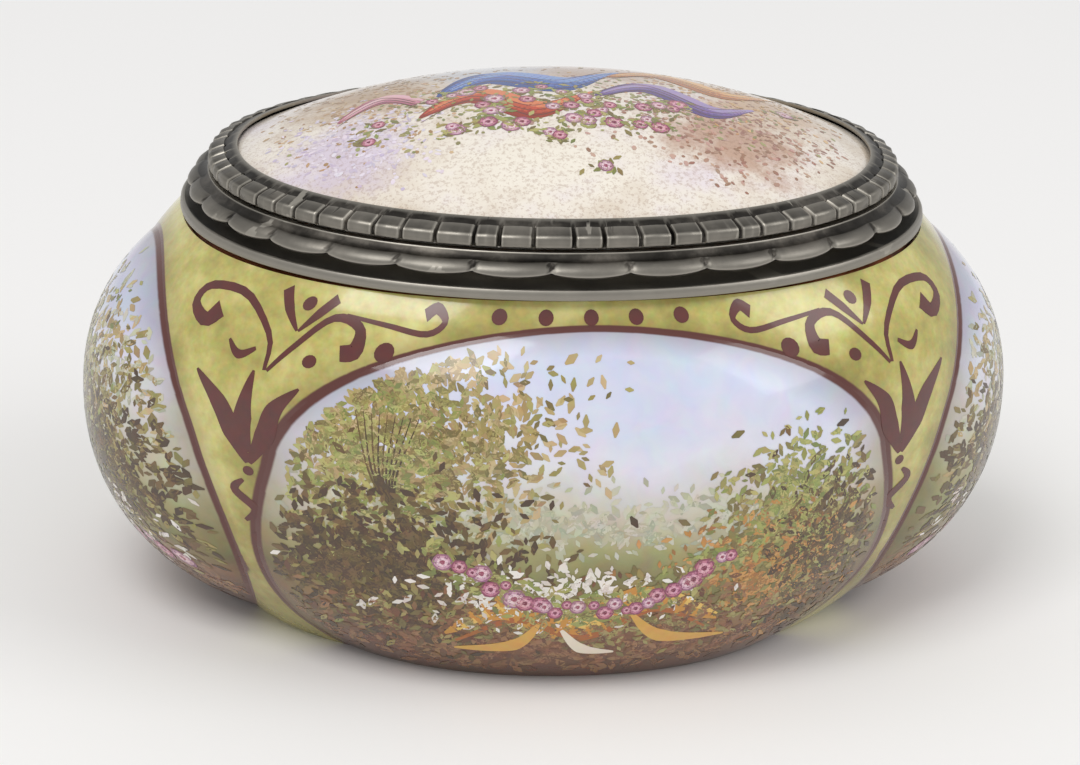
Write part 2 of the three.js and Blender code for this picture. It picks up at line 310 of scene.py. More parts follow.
# The enamelled body, in mm: a rounded ground with a lobe pressed out on each side. Each form has its
# middle, half width and depth, height over and under the middle, and how square its plan and side are
longLobe = {"half": (34.1, 24.34), "up": 19.0, "down": 26.4, "plan": 2.05, "side": 2.2}
endLobe = {"half": (27.04, 21.7), "up": 20.2, "down": 21.9, "plan": 2.12, "side": 2.16}
bodyShape = {
    "ground": {"at": (0, 0, 22.8), "half": (39.7, 28.9), "up": 24.4, "down": 31.1, "plan": 2.18,
               "side": 2.08},
    "front": {"at": (0, -7.2, 21.1), **longLobe},
    "back": {"at": (0, 7.2, 21.1), **longLobe},
    "right": {"at": (15.6, 0, 19.7), **endLobe},
    "left": {"at": (-15.6, 0, 19.7), **endLobe},
}
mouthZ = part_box("body_outer_enamel")[1][2] / mm
# Layers of the wall, and the mean radius that turns a share of a form into mm
wallLayers = {"enamel": 0.6, "liningInset": 1.9, "lining": 0.5, "meanRadius": 30}


def gauge(form, points):
    # 1 on the form's surface, less inside it and more outside
    x = abs((points[:, 0] - form["at"][0]) / form["half"][0])
    y = abs((points[:, 1] - form["at"][1]) / form["half"][1])
    rise = points[:, 2] - form["at"][2]
    z = abs(rise / np.where(rise > 0, form["up"], form["down"]))
    across = (x ** form["plan"] + y ** form["plan"]) ** (form["side"] / form["plan"])
    return (across + z ** form["side"]) ** (1 / form["side"])


def formObject(form, inset, around, down):
    bm = bmesh.new()
    bmesh.ops.create_uvsphere(bm, u_segments=around, v_segments=down, radius=1)
    unit = {"at": (0, 0, 0), "half": (1, 1), "up": 1, "down": 1, "plan": form["plan"], "side": form["side"]}
    spots = np.array([v.co for v in bm.verts])
    spots /= gauge(unit, spots)[:, None]
    for v, (x, y, z) in zip(bm.verts, spots):
        tall = (form["up"] if z > 0 else form["down"]) - inset
        v.co = Vector((form["at"][0] + x * (form["half"][0] - inset),
                       form["at"][1] + y * (form["half"][1] - inset), form["at"][2] + z * tall))
    mesh = bpy.data.meshes.new("form")
    bm.to_mesh(mesh)
    bm.free()
    made = bpy.data.objects.new("form", mesh)
    bpy.context.scene.collection.objects.link(made)
    return made


def applied(made):
    mesh = bpy.data.meshes.new_from_object(made.evaluated_get(bpy.context.evaluated_depsgraph_get()))
    bpy.data.objects.remove(made)
    return mesh


def bodyWall(inset, thick, around, down):
    # The five forms joined, cut flat at the base and the mouth, then given their wall
    forms = [formObject(f, inset, around, down) for f in bodyShape.values()]
    for lobe in forms[1:]:
        join = forms[0].modifiers.new("join", "BOOLEAN")
        join.operation = "UNION"
        join.solver = "EXACT"
        join.object = lobe
    bpy.context.view_layer.update()
    mesh = applied(forms[0])
    for lobe in forms[1:]:
        bpy.data.objects.remove(lobe)
    bm = bmesh.new()
    bm.from_mesh(mesh)
    everything = bm.verts[:] + bm.edges[:] + bm.faces[:]
    cut = bmesh.ops.bisect_plane(bm, geom=everything, plane_co=(0, 0, inset), plane_no=(0, 0, 1),
                                 clear_inner=True)
    rim = [e for e in cut["geom_cut"] if isinstance(e, bmesh.types.BMEdge)]
    bmesh.ops.contextual_create(bm, geom=rim)
    everything = bm.verts[:] + bm.edges[:] + bm.faces[:]
    bmesh.ops.bisect_plane(bm, geom=everything, plane_co=(0, 0, mouthZ), plane_no=(0, 0, 1),
                           clear_outer=True)
    bmesh.ops.remove_doubles(bm, verts=bm.verts[:], dist=0.002)
    bmesh.ops.triangulate(bm, faces=[f for f in bm.faces if len(f.verts) > 4])
    bmesh.ops.recalc_face_normals(bm, faces=bm.faces[:])
    bm.to_mesh(mesh)
    bm.free()
    made = bpy.data.objects.new("wall", mesh)
    bpy.context.scene.collection.objects.link(made)
    wall = made.modifiers.new("wall", "SOLIDIFY")
    wall.thickness = thick
    wall.offset = -1
    bpy.context.view_layer.update()
    return applied(made)


def markForms(mesh):
    # Each face takes the material of the form that it lies on; each point gets its way to a crease in mm
    count = len(mesh.vertices)
    spots = np.empty(count * 3)
    mesh.vertices.foreach_get("co", spots)
    spots = spots.reshape(-1, 3)
    off = np.sort([abs(gauge(f, spots) - 1) for f in bodyShape.values()], axis=0)[1]
    mesh.attributes.new("seam", "FLOAT", "POINT").data.foreach_set(
        "value", off * wallLayers["meanRadius"])
    middles = np.array([p.center for p in mesh.polygons])
    nearest = np.argmin([gauge(f, middles) for f in bodyShape.values()], axis=0)
    mesh.polygons.foreach_set("material_index", nearest.astype(np.int32))
    spots[:, 2] = np.minimum(spots[:, 2], mouthZ)
    mesh.vertices.foreach_set("co", (spots * mm).ravel())


fineness = ((144, 96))
liningFineness = (72, 48)
bodyMesh = bodyWall(0.0, wallLayers["enamel"], *fineness)
markForms(bodyMesh)
frontView = landscapeEnamel("frontLandscape", 1.0, "#CDD2E6", "#C9C2B0", 0.012)
sideView = landscapeEnamel("sideLandscape", 7.0, "#C3C6DC", "#BDB79C", 0.016)
addPiece("body_painted_enamel", bodyMesh, [groundEnamel(), frontView, frontView, sideView, sideView],
         "box", ["body_outer_enamel"], 9)
liningMesh = bodyWall(wallLayers["liningInset"], wallLayers["lining"], *liningFineness)
lining = np.empty(len(liningMesh.vertices) * 3)
liningMesh.vertices.foreach_get("co", lining)
liningMesh.vertices.foreach_set("co", lining * mm)
addPiece("body_lining_enamel", liningMesh, [backing], "box",
         ["body_counter_enamel"], 30)
print("body made")

# Rings of the mounts: a profile spun round, then drawn to the mount's oval
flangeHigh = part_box("body_rim_flange")[1]
mountOval = {"halfX": flangeHigh[0] / mm, "halfY": flangeHigh[1] / mm, "power": 2.08, "spinRadius": 100.0}


def ovalSpot(inset, turn):
    u, v = math.cos(turn), math.sin(turn)
    scale = (abs(u) ** mountOval["power"] + abs(v) ** mountOval["power"]) ** (-1 / mountOval["power"])
    return (mountOval["halfX"] - inset) * u * scale, (mountOval["halfY"] - inset) * v * scale


def ovalRing(name, profile, steps, body, replaced, shape=None, smoothAngle=35):
    # profile holds (inset, z) points round the section; shape may shift a point at an angle
    bm = bmesh.new()
    points = [bm.verts.new((mountOval["spinRadius"] - inset, 0, z)) for inset, z in profile]
    edges = [bm.edges.new((a, b)) for a, b in zip(points, points[1:] + points[:1])]
    bmesh.ops.spin(bm, geom=points + edges, cent=(0, 0, 0), axis=(0, 0, 1), angle=2 * math.pi, steps=steps,
                   use_merge=True)
    bmesh.ops.remove_doubles(bm, verts=bm.verts[:], dist=0.001)
    for v in bm.verts:
        turn = math.atan2(v.co.y, v.co.x)
        inset, z = mountOval["spinRadius"] - math.hypot(v.co.x, v.co.y), v.co.z
        if shape:
            inset, z = shape(inset, z, turn)
        x, y = ovalSpot(inset, turn)
        v.co = Vector((x, y, z)) * mm
    bmesh.ops.recalc_face_normals(bm, faces=bm.faces[:])
    newPiece(name, bm, [silver], body, replaced, smoothAngle)


def heights(node):
    low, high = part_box(node)
    return low[2] / mm, high[2] / mm


flangeLow, flangeTop = heights("body_rim_flange")
ovalRing("body_flange", [(4.4, flangeLow), (0.25, flangeLow), (0.07, flangeLow + 0.1), (0, flangeLow + 0.3),
                         (0.05, flangeTop - 0.25), (0.2, flangeTop - 0.05), (0.4, flangeTop),
                         (0.7, flangeTop - 0.12), (4.4, flangeTop - 0.1)],
         288, "box", ["body_rim_flange"])
collarLow, collarTop = heights("body_rim_collar")
ovalRing("body_collar", [(5.5, collarLow), (4.7, collarLow), (4.7, collarTop - 0.2), (4.9, collarTop),
                         (5.3, collarTop), (5.5, collarTop - 0.2)], 192, "box", ["body_rim_collar"])

# Petals: depth of the cuts between them, how far each laps the next, and in mm how far in from the
# mount's edge, down from the top and up from the foot the cuts reach, and how far they lift the foot
petals = {"count": 30, "deep": 0.42, "lap": 0.15, "inner": 2.4, "fade": 1.2, "topFade": 0.7, "foot": 0.9,
          "footLift": 0.35, "fullness": 0.6}
frameLow, frameTop = heights("lid_petal_frame")


def petalShape(inset, z, turn):
    # Each petal is full in its middle and its left edge lies over the one before
    share = (turn / (2 * math.pi) * petals["count"]) % 1.0
    outer = max(0.0, min(1.0, (petals["inner"] - inset) / petals["fade"]))
    outer *= max(0.0, min(1.0, (frameTop - z) / petals["topFade"]))
    full = math.sin(math.pi * share) ** petals["fullness"]
    lower = max(0.0, min(1.0, (frameLow + petals["foot"] - z) / petals["foot"]))
    inset += outer * (petals["deep"] * (1 - full) + petals["lap"] * share ** 3)
    z += outer * lower * petals["footLift"] * (1 - full)
    return inset, z


ovalRing("lid_petals", [(3.3, frameLow), (1.1, frameLow), (0.72, frameLow + 0.02), (0.6, frameLow + 0.18),
                        (0.62, frameLow + 0.4), (0.8, frameLow + 0.75), (1.15, frameLow + 1.05),
                        (1.5, frameLow + 1.2), (1.75, frameLow + 1.22), (2.2, frameLow + 1.4),
                        (2.42, frameTop - 0.1), (2.5, frameTop), (3.3, frameTop)],
         720, "lid", ["lid_petal_frame"], petalShape, 40)

# Notches: half width and depth in mm, how uneven their places and depths are, the swell of the metal
# between them, and how far in they run at full depth and at all
notches = {"count": 66, "width": 0.2, "deep": 0.3, "stray": 0.16, "shallowest": 0.6, "swell": 0.06,
           "swellReach": 1.3, "fullTo": 2.9, "ends": 4.0, "sharpness": 0.6, "innerShare": 0.3,
           "underside": 0.05, "shoulder": 0.5, "meanHalfX": 24, "meanHalfY": 30}
ringLow, ringTop = heights("lid_milled_ring")
wobble = random.Random(4)
notchTurns = [(i + wobble.uniform(-notches["stray"], notches["stray"])) / notches["count"] * 2 * math.pi
              for i in range(notches["count"])]
notchDeep = [wobble.uniform(notches["shallowest"], 1.0) for _ in notchTurns]


def notchShape(inset, z, turn):
    # Hand-filed notches, uneven in spacing and depth, across the outer edge only
    if inset > notches["ends"] or z < ringLow + notches["underside"]:
        return inset, z
    turn %= 2 * math.pi
    first = int(turn / (2 * math.pi) * notches["count"])
    near = min(((abs((turn - notchTurns[k % notches["count"]] + math.pi) % (2 * math.pi) - math.pi), k)
                for k in (first - 1, first, first + 1, first + 2)))
    mean = math.hypot(notches["meanHalfY"] * math.sin(turn), notches["meanHalfX"] * math.cos(turn))
    reach = mean * near[0]
    cut = max(0.0, 1 - reach / notches["width"]) ** notches["sharpness"] * notches["deep"]
    cut *= notchDeep[near[1] % notches["count"]]
    swell = notches["swell"] * math.cos(min(1.0, reach / notches["swellReach"]) * math.pi)
    inset += (cut + swell) * (1 if inset < notches["fullTo"] else notches["innerShare"])
    return inset, z - (cut if z > ringLow + notches["shoulder"] else 0) - swell * 0.5


ovalRing("lid_notched_ring", [(4.2, ringLow), (2.8, ringLow), (2.56, ringLow + 0.12), (2.5, ringLow + 0.4),
                              (2.52, ringLow + 0.85), (2.62, ringLow + 1.08), (2.85, ringLow + 1.2),
                              (3.35, ringLow + 1.42), (3.85, ringLow + 1.6), (3.95, ringLow + 1.5),
                              (4.1, ringLow + 1.56), (4.6, ringTop - 0.22), (4.95, ringTop - 0.08),
                              (5.08, ringTop - 0.1), (5.1, ringTop - 0.25), (5.05, ringTop - 0.42),
                              (4.2, ringTop - 0.6)],
         1980, "lid", ["lid_milled_ring"], notchShape, 40)
holdLow, holdTop = heights("lid_retaining_ring")
ovalRing("lid_holding_ring", [(7.2, holdLow), (6.0, holdLow), (6.0, holdTop), (7.2, holdTop)], 192, "lid",
         ["lid_retaining_ring"])
print("mounts made")

# The domed plaque of the lid, in painted enamel and its white backing
dome = {"inset": 4.5, "edge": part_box("lid_outer_enamel")[0][2] / mm + wallLayers["enamel"], "rise": 6.54,
        "power": 2.1}


def domeLayer(name, depth, thick, material, replaced):
    bm = bmesh.new()
    bmesh.ops.create_grid(bm, x_segments=160, y_segments=28, size=1)
    for v in bm.verts:
        turn, share = v.co.x * math.pi, (v.co.y + 1) / 2
        x, y = ovalSpot(dome["inset"], turn)
        height = dome["edge"] - depth + dome["rise"] * (1 - share ** dome["power"])
        v.co = Vector((x * share, y * share, height))
    bmesh.ops.remove_doubles(bm, verts=bm.verts[:], dist=0.001)
    bmesh.ops.dissolve_degenerate(bm, dist=0.0005, edges=bm.edges[:])
    bmesh.ops.recalc_face_normals(bm, faces=bm.faces[:])
    if sum(f.normal.z for f in bm.faces) < 0:
        bmesh.ops.reverse_faces(bm, faces=bm.faces[:])
    under = bmesh.ops.extrude_face_region(bm, geom=bm.faces[:])
    moved = [v for v in under["geom"] if isinstance(v, bmesh.types.BMVert)]
    bmesh.ops.translate(bm, verts=moved, vec=(0, 0, -thick))
    bmesh.ops.recalc_face_normals(bm, faces=bm.faces[:])
    bmesh.ops.scale(bm, verts=bm.verts[:], vec=(mm, mm, mm))
    newPiece(name, bm, [material], "lid", replaced, 40)


domeLayer("lid_painted_enamel", 0.0, wallLayers["enamel"], cloudEnamel(),
          ["lid_outer_enamel"])
domeLayer("lid_backing_enamel", wallLayers["liningInset"], wallLayers["lining"], backing,
          ["lid_counter_enamel"])

# The hinge: five drawn tubes on a pin, with a bearer plate above and below
hinge = {"at": frame["joints"][0]["pos_m"], "outer": 1.25, "bore": 0.7, "round": 0.12}


def tubePiece(name, node, body):
    low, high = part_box(node)
    outer, bore = hinge["outer"], hinge["bore"]
    long = (high[0] - low[0]) / mm
    bm = bmesh.new()
    edge = hinge["round"]
    section = [(bore, 0), (outer - edge, 0), (outer, edge), (outer, long - edge), (outer - edge, long),
               (bore, long)]
    points = [bm.verts.new((along, 0, radius)) for radius, along in section]
    edges = [bm.edges.new((a, b)) for a, b in zip(points, points[1:] + points[:1])]
    bmesh.ops.spin(bm, geom=points + edges, cent=(0, 0, 0), axis=(1, 0, 0), angle=2 * math.pi, steps=48,
                   use_merge=True)
    bmesh.ops.remove_doubles(bm, verts=bm.verts[:], dist=0.001)
    bmesh.ops.recalc_face_normals(bm, faces=bm.faces[:])
    bmesh.ops.scale(bm, verts=bm.verts[:], vec=(mm, mm, mm))
    bmesh.ops.translate(bm, verts=bm.verts[:], vec=(low[0], hinge["at"][1], hinge["at"][2]))
    newPiece(name, bm, [silver], body, [node], 35)


for number in range(1, 6):
    owner = "lid" if number % 2 == 0 else "body"
    tubePiece(f"{owner}_knuckle_{number}", f"{owner}_hinge_knuckle_{number}",
              "lid" if owner == "lid" else "box")
for node, material in (("body_hinge_plate", silver), ("lid_hinge_plate", silver), ("hinge_pin", silver),
                       ("body_copper_shell", copper), ("lid_copper_dome", copper)):
    frame["nodes"][node].data.materials.clear()
    frame["nodes"][node].data.materials.append(material)
print("hinge made")


# Brush strokes: each one is a small flat shape, laid on its surface just proud of the glaze
def onGround(turnDegrees, z, lift):
    form = bodyShape["ground"]
    u, v = math.sin(math.radians(turnDegrees)), -math.cos(math.radians(turnDegrees))
    rise = z - form["at"][2]
    tall = form["up"] if rise > 0 else form["down"]
    left = max(0.0, 1 - abs(rise / tall) ** form["side"]) ** (form["plan"] / form["side"])
    across = abs(u / form["half"][0]) ** form["plan"] + abs(v / form["half"][1]) ** form["plan"]
    reach = (left / across) ** (1 / form["plan"])
    spot = Vector((reach * u, reach * v, z))
    normal = Vector((spot.x / form["half"][0] ** 2, spot.y / form["half"][1] ** 2, rise / tall**2))
    return spot + normal.normalized() * lift


def onLobe(name, along, z, lift):
    form = bodyShape[name]
    end = name in ("left", "right")
    sign = -1 if name in ("front", "left") else 1
    acrossHalf, outHalf = (form["half"][1], form["half"][0]) if end else form["half"]
    rise = z - form["at"][2]
    tall = form["up"] if rise > 0 else form["down"]
    left = max(0.0, 1 - abs(rise / tall) ** form["side"]) ** (form["plan"] / form["side"])
    widest = acrossHalf * left ** (1 / form["plan"]) * 0.995
    along = max(-widest, min(widest, along))
    out = outHalf * max(0.0, left - abs(along / acrossHalf) ** form["plan"]) ** (1 / form["plan"])
    if end:
        spot = Vector((form["at"][0] + sign * out, along, z))
    else:
        spot = Vector((along, form["at"][1] + sign * out, z))
    out = spot - Vector(form["at"])
    normal = Vector((out.x / form["half"][0] ** 2, out.y / form["half"][1] ** 2, out.z / tall**2))
    return spot + normal.normalized() * lift


def onDome(x, y, lift):
    power = mountOval["power"]
    share = ((abs(x) / (mountOval["halfX"] - dome["inset"])) ** power
             + (abs(y) / (mountOval["halfY"] - dome["inset"])) ** power) ** (1 / power)
    return Vector((x, y, dome["edge"] + dome["rise"] * (1 - min(1.0, share) ** dome["power"]) + lift))


# How high paint lies over the glaze in mm: the first stroke, the step to the next one, and the limit
paintLift = {"low": 0.012, "dab": 0.000003, "stroke": 0.0004, "high": 0.055}
# Points in a batch, width in mm that one row of a stroke spans, and the step for a curve's direction
brush = {"batch": 600, "row": 0.7, "ahead": 0.02}


class Canvas:
    # Gathers strokes for one painted surface; place maps (across, up, lift) to the surface
    def __init__(self, place, stretch=1.0):
        self.place = place
        self.stretch = stretch
        self.lift = paintLift["low"]
        self.batches = []
        self.newBatch()

    def newBatch(self):
        self.bm = bmesh.new()
        self.paint = self.bm.verts.layers.float_color.new("paint")

    def closeBatch(self):
        mesh = bpy.data.meshes.new("batch")
        self.bm.to_mesh(mesh)
        self.bm.free()
        self.batches.append(mesh)

    def settle(self, verts, colour, spots, step):
        self.lift = min(self.lift + paintLift[step], paintLift["high"])
        for v, (across, up) in zip(verts, spots):
            v.co = self.place(across, up, self.lift)
            v[self.paint] = colour
        if len(self.bm.verts) > brush["batch"]:
            self.closeBatch()
            self.newBatch()

    def dab(self, across, up, long, wide, turn, colour, point=0.6, sides=8):
        made = bmesh.ops.create_circle(self.bm, cap_ends=True, radius=1, segments=sides)["verts"]
        c, s = math.cos(turn), math.sin(turn)
        spots = []
        for v in made:
            a, b = v.co.x * long, v.co.y * wide * (1 - point * abs(v.co.x))
            spots.append((across + (a * c - b * s) * self.stretch, up + a * s + b * c))
        self.settle(made, linear(colour), spots, "dab")

    def stroke(self, points, widths, colour, steps=22):
        rows = 2 + math.ceil(max(widths) / brush["row"])
        made = bmesh.ops.create_grid(self.bm, x_segments=steps, y_segments=rows, size=1)["verts"]
        spots = []
        for v in made:
            t = (v.co.x + 1) / 2 * (len(points) - 1)
            here, ahead = curveAt(points, t), curveAt(points, min(t + brush["ahead"], len(points) - 1))
            if t > len(points) - 1.03:
                here, ahead = curveAt(points, t - brush["ahead"]), curveAt(points, t)
            da, du = (ahead[0] - here[0]) / self.stretch, ahead[1] - here[1]
            size = math.hypot(da, du) or 1.0
            along = (v.co.x + 1) / 2 * (len(widths) - 1)
            k = max(0, min(int(along), len(widths) - 2))
            wide = widths[k] + (widths[k + 1] - widths[k]) * (along - k)
            off = v.co.y * wide / 2
            at = curveAt(points, t)
            spots.append((at[0] - du / size * off * self.stretch, at[1] + da / size * off))
        self.settle(made, linear(colour), spots, "stroke")

    def finish(self, name, body):
        self.closeBatch()
        whole = bmesh.new()
        for mesh in self.batches:
            whole.from_mesh(mesh)
            bpy.data.meshes.remove(mesh)
        bmesh.ops.scale(whole, verts=whole.verts[:], vec=(mm, mm, mm))
        newPiece(name, whole, [strokesPaint], body, (), 60)


def curveAt(points, t):
    # Smooth curve through the points
    k = max(0, min(int(t), len(points) - 2))
    f = t - k
    p0, p1, p2, p3 = (points[max(0, min(i, len(points) - 1))] for i in (k - 1, k, k + 1, k + 2))
    return tuple(
        0.5 * (2 * b + (c - a) * f + (2 * a - 5 * b + 4 * c - d) * f * f + (3 * b - a - 3 * c + d) * f**3)
        for a, b, c, d in zip(p0, p1, p2, p3)
    )


# Brown ornament on the ground: places are degrees from the valley's middle and mm up
ornament = {"valley": 54.5, "degreesPerMm": 1 / 0.58, "brown": "#5B2B26", "dotsUp": 35.0}
cornerStrokes = [
    ([(0.0, 20.2), (-2.4, 22.8), (-5.0, 25.2), (-9.4, 27.4)], [0.5, 1.9, 1.6, 0.2]),
    ([(0.2, 20.2), (2.6, 23.0), (3.8, 25.6), (7.0, 27.8)], [0.5, 1.8, 1.5, 0.2]),
    ([(-0.1, 21.2), (-0.9, 24.4), (-0.3, 28.6)], [0.8, 1.7, 0.2]),
    ([(1.2, 28.8), (0.4, 31.6), (-6.0, 34.2), (-13.0, 34.0), (-14.2, 32.4), (-11.0, 31.4), (-9.2, 32.6)],
     [0.3, 0.5, 0.6, 0.7, 0.8, 1.2, 1.6]),
    ([(1.6, 28.8), (4.4, 31.0), (9.0, 33.8), (13.6, 33.4), (14.0, 31.6), (11.8, 31.2)],
     [0.3, 0.5, 0.6, 0.8, 1.5, 1.3]),
    ([(11.0, 34.2), (18.0, 33.8), (24.6, 33.4), (27.4, 34.4), (25.6, 35.4), (23.8, 34.8)],
     [0.25, 0.4, 0.5, 0.6, 0.9, 1.1]),
    ([(-0.2, 35.4), (1.6, 34.0), (4.2, 32.4)], [0.9, 0.8, 0.2]),
    ([(8.6, 35.3), (6.6, 34.0), (4.4, 32.4)], [0.9, 0.8, 0.2]),
    ([(-5.6, 30.6), (-3.4, 29.6), (-1.0, 30.4)], [0.2, 0.8, 0.3]),
    ([(-1.0, 18.4), (-2.6, 17.2), (0.4, 15.6), (-1.8, 14.2)], [0.3, 0.9, 0.9, 0.3]),
]
cornerDots = [(0.0, 19.4, 0.45), (18.6, 31.7, 0.8), (4.4, 34.6, 0.55), (-0.6, 12.6, 0.5), (-0.4, 10.6, 0.4),
              (7.6, 30.2, 0.55)]
stripDots = [-17.6, -8.8, 0.0, 8.8, 17.6]
ground = Canvas(onGround, ornament["degreesPerMm"])
for middle, way in ((-ornament["valley"], 1), (ornament["valley"], -1), (180 - ornament["valley"], 1),
                    (180 + ornament["valley"], -1)):
    for points, widths in cornerStrokes:
        ground.stroke([(middle + way * a, z) for a, z in points], widths, ornament["brown"])
    for a, z, radius in cornerDots:
        ground.dab(middle + way * a, z, radius * 1.15, radius, 0.3 * way, ornament["brown"], 0.0, 14)
for face in (0, 180):
    for a in stripDots:
        ground.dab(face + a, ornament["dotsUp"], 0.85, 0.62, 0.0, ornament["brown"], 0.0, 16)
ground.finish("body_scroll_ornament", "box")


def leaves(canvas, rng, middle, spread, count, colours, long, keep):
    # Leaf-shaped dabs strewn round a place, where keep allows them
    for _ in range(count):
        across, up = rng.gauss(middle[0], spread[0]), rng.gauss(middle[1], spread[1])
        if keep(across, up):
            size = long * rng.uniform(0.6, 1.3)
            canvas.dab(across, up, size, size * 0.45, rng.uniform(0, math.pi), rng.choice(colours), 0.6, 6)


def rose(canvas, across, up, radius, shades):
    # A rose from outside in: a dark ring of petals, paler ones, and a deep heart
    for ring, (share, colour) in enumerate(zip((1.0, 0.8, 0.55, 0.28), shades)):
        for k in range(6 - ring):
            turn = k / (6 - ring) * 2 * math.pi + ring
            reach = radius * share * 0.45
            canvas.dab(across + math.cos(turn) * reach * canvas.stretch, up + math.sin(turn) * reach,
                       radius * share * 0.6, radius * share * 0.45, turn + 1.57, colour, 0.2, 8)


def lobeReach(name, up):
    # Half width of a lobe at a height, short of its edge
    form = bodyShape[name]
    rise = up - form["at"][2]
    left = max(0.0, 1 - abs(rise / (form["up"] if rise > 0 else form["down"])) ** form["side"])
    return form["half"][1 if name in ("left", "right") else 0] * left ** (1 / form["side"]) * 0.97


paintMargin = {"foot": 1, "crease": 0.012}


def lobeKeep(name):
    # A test that holds where a lobe stands clear of the ground, off its foot and its creases
    under = bodyShape["ground"]
    return lambda across, up: (
        paintMargin["foot"] < up < mouthZ and abs(across) < lobeReach(name, up)
        and gauge(under, np.array([onLobe(name, across, up, 0.0)]))[0] > 1 + paintMargin["crease"])


pinkRose = ["#8E4A62", "#C47C92", "#E2AEBC", "#7C2F48"]
paleRose = ["#9A6A80", "#CFA3B4", "#EBD0D6", "#9C4C63"]
foliage = {
    "dark": ["#54412E", "#64502F", "#735C3A", "#4C3A2A"],
    "olive": ["#857848", "#978A52", "#A69A62", "#786A40"],
    "green": ["#8C9050", "#A0A05C", "#B2AC6C", "#7C8048"],
    "tan": ["#B39C6C", "#C2AC80", "#A28B60"],
    "orange": ["#B98446", "#C9965A", "#A07040"],
    "haze": ["#B7B59C", "#C2C0A8", "#A9AA94", "#C9C5B4"],
    "earth": ["#7A5238", "#8C6344", "#6A4632", "#9A7450"],
    "pale": ["#E6E0D8", "#D8CFC6", "#EFE9E2"],
}


frontRibbon = [
    ([(-12, 6.0), (-7, 9.6), (-1, 7.2), (5, 10.4), (12, 7.2)], 3.0, "#C98F3C"),
    ([(-11, 6.6), (-6, 10.2), (0, 7.8), (6, 10.9), (12, 7.8)], 1.3, "#E3BC63"),
    ([(-11, 5.2), (-6, 8.2), (0, 6.0), (6, 9.2), (11, 6.4)], 0.7, "#A8622E"),
    ([(-4, 7.8), (-6, 5.0), (-11, 4.2)], 1.5, "#D8A750"),
    ([(4, 8.8), (7, 5.8), (13, 5.0)], 1.5, "#D8A750"),
    ([(-2, 7.0), (0, 4.6), (3, 4.0)], 1.2, "#EDE2CF"),
]
garland = {"half": 13, "ends": 15.0, "hang": 5.6, "sprays": 19, "roses": 26}


def garlandSpot(share):
    up = garland["ends"] - garland["hang"] * math.sin(math.pi * share)
    return 2 * garland["half"] * share - garland["half"], up


def paintFront(name, seed):
    # Garden view: a high tree on one side, bushes on the other, a garland and a ribbon below
    rng = random.Random(seed)
    canvas = Canvas(lambda a, up, lift: onLobe(name, a, up, lift))
    keep = lobeKeep(name)
    side = -1 if name == "front" else 1
    leaves(canvas, rng, (side * 2, 18), (12, 1.6), 500, foliage["haze"], 0.6, keep)
    leaves(canvas, rng, (0, 4.5), (14, 1.4), 900, foliage["earth"], 0.8, keep)
    leaves(canvas, rng, (side * 16, 26), (6.5, 4.5), 900, foliage["tan"], 0.6, keep)
    leaves(canvas, rng, (side * 17, 25), (6, 4.5), 1100, foliage["olive"], 0.55, keep)
    leaves(canvas, rng, (side * 19, 21), (4.5, 5), 500, foliage["green"], 0.55, keep)
    for k in range(9):
        lean = k * 0.22 * side
        stem = [(side * 17 - lean, 9), (side * 16 - lean, 15), (side * 17 + lean, 21),
                (side * 15 + lean * 3, 27)]
        canvas.stroke(stem, [0.35, 0.3, 0.2, 0.06], rng.choice(foliage["dark"]))
    leaves(canvas, rng, (side * 17, 12), (6, 4), 1500, foliage["dark"], 0.6, keep)
    leaves(canvas, rng, (side * -18, 15), (4, 4), 600, foliage["olive"], 0.6, keep)
    leaves(canvas, rng, (side * -16, 12), (5, 3), 500, foliage["orange"], 0.5, keep)
    leaves(canvas, rng, (side * -19, 19), (3, 3), 350, foliage["green"], 0.5, keep)
    leaves(canvas, rng, (side * -22, 12), (3, 5), 500, foliage["dark"], 0.6, keep)
    leaves(canvas, rng, (0, 8), (11, 1.8), 900, foliage["olive"] + foliage["earth"], 0.6, keep)
    leaves(canvas, rng, (side * 3, 11), (6, 1.6), 260, foliage["pale"], 0.55, keep)
    for points, wide, colour in frontRibbon:
        canvas.stroke(points, [0.3] + [wide] * (len(points) - 2) + [0.2], colour)
    for k in range(garland["sprays"]):
        across, up = garlandSpot(k / (garland["sprays"] - 1))
        leaves(canvas, rng, (across, up), (1.2, 0.9), 20, foliage["green"] + foliage["olive"], 0.6, keep)
    for k in range(garland["roses"]):
        across, up = garlandSpot((k + rng.uniform(0.1, 0.9)) / garland["roses"])
        up += rng.uniform(-0.8, 0.8)
        rose(canvas, across, up, rng.uniform(0.55, 1.25), pinkRose if k % 3 else paleRose)
    canvas.finish(f"body_{name}_painting", "box")


